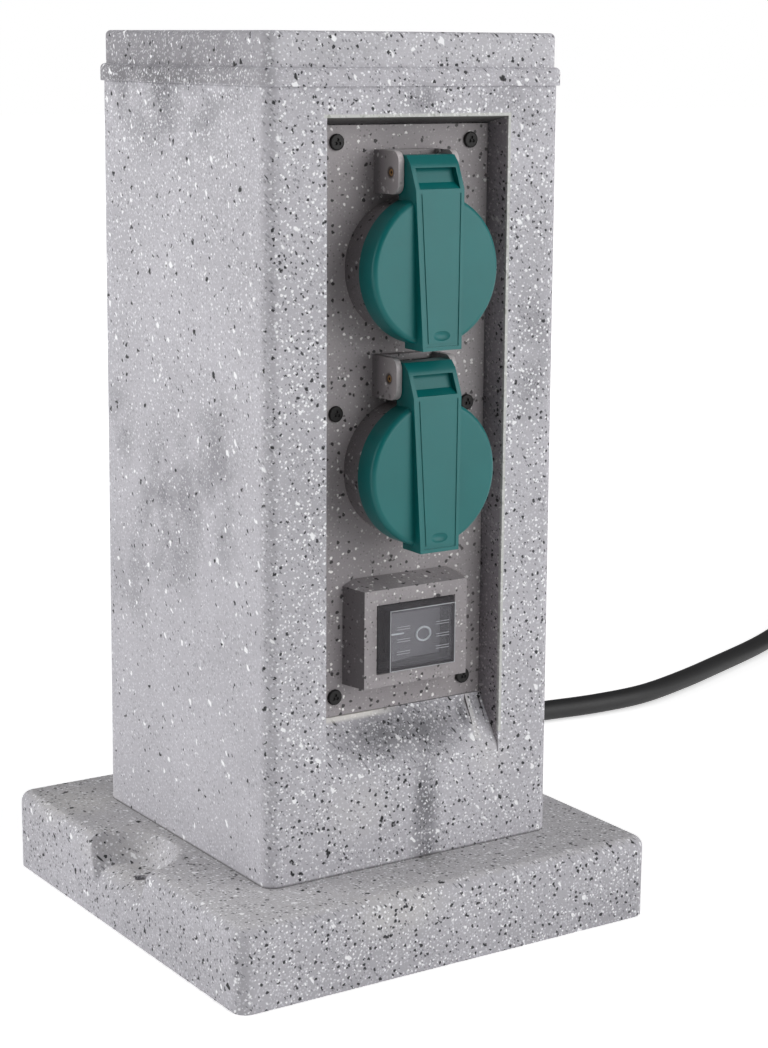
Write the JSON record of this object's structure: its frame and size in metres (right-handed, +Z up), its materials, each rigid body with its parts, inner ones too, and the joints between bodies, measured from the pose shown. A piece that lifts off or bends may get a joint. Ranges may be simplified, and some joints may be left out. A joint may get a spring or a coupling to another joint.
{
  "type": "garden socket post",
  "caption": "Square stone-look garden post on a wide base, with lidded sockets and a covered rocker switch on a recessed panel and a mains lead at the rear.",
  "frame": {"origin": "middle of the base's underside, on the ground", "axes": "+Z up along the post, -Y out of the front panel, +X to the right seen from the front"},
  "size_m": [0.6867, 0.3351, 0.346],
  "materials": {
    "stone": "fine speckled stone look",
    "panel": "darker speckled stone look",
    "lid": "satin moulded",
    "black_screw": "black oxide",
    "steel": "plain zinc",
    "brass": "dull",
    "dark_plastic": "moulded",
    "clear": "smoky clear flexible plastic",
    "seal_rubber": "soft",
    "lead_rubber": "matt",
    "tie": "moulded",
    "block": "moulded",
    "brown_wire": "insulated",
    "blue_wire": "insulated",
    "green_wire": "insulated"
  },
  "bodies": {
    "post": {"base_plinth": "stone", "post_shell": "stone", "top_cap": "stone", "base_screws": "steel", "front_panel": "panel", "panel_gasket": "seal_rubber", "panel_screws": "black_screw", "upper_socket_insert": "dark_plastic", "lower_socket_insert": "dark_plastic", "upper_earth_bracket": "steel", "lower_earth_bracket": "steel", "upper_contact_carrier": "dark_plastic", "lower_contact_carrier": "dark_plastic", "upper_contact_sleeves": "brass", "lower_contact_sleeves": "brass", "socket_screws": "steel", "upper_hinge_pin": "brass", "lower_hinge_pin": "brass", "upper_lid_spring": "steel", "lower_lid_spring": "steel", "switch_body": "dark_plastic", "switch_cover": "clear", "switch_terminals": "brass", "terminal_block": "block", "terminal_screws": "steel", "live_wires": "brown_wire", "neutral_wires": "blue_wire", "earth_wires": "green_wire", "supply_tail": "lead_rubber", "cable_clamp": "dark_plastic", "clamp_screws": "steel", "strain_relief": "lead_rubber", "mains_cord": "lead_rubber", "cord_coil": "lead_rubber", "cord_tie": "tie", "plug_body": "lead_rubber", "plug_pins": "steel", "plug_earth_strips": "steel"},
    "upper_lid": {"upper_lid": "lid", "upper_lid_seal": "seal_rubber"},
    "lower_lid": {"lower_lid": "lid", "lower_lid_seal": "seal_rubber"},
    "rocker": {"switch_rocker": "dark_plastic"}
  },
  "joints": [
    {"name": "upper_lid_hinge", "type": "hinge", "parent": "post", "child": "upper_lid", "pos_m": [0, -0.0654, 0.2963], "axis": [-1, 0, 0], "range_deg": [0, 100], "stiffness_Nm_per_rad": 0.03, "springref_deg": -34.38},
    {"name": "lower_lid_hinge", "type": "hinge", "parent": "post", "child": "lower_lid", "pos_m": [0, -0.0654, 0.2213], "axis": [-1, 0, 0], "range_deg": [0, 72], "stiffness_Nm_per_rad": 0.03, "springref_deg": -34.38},
    {"name": "rocker_tilt", "type": "hinge", "parent": "post", "child": "rocker", "pos_m": [0, -0.0562, 0.1227], "axis": [0, 0, -1], "range_deg": [0, 14]}
  ]
}
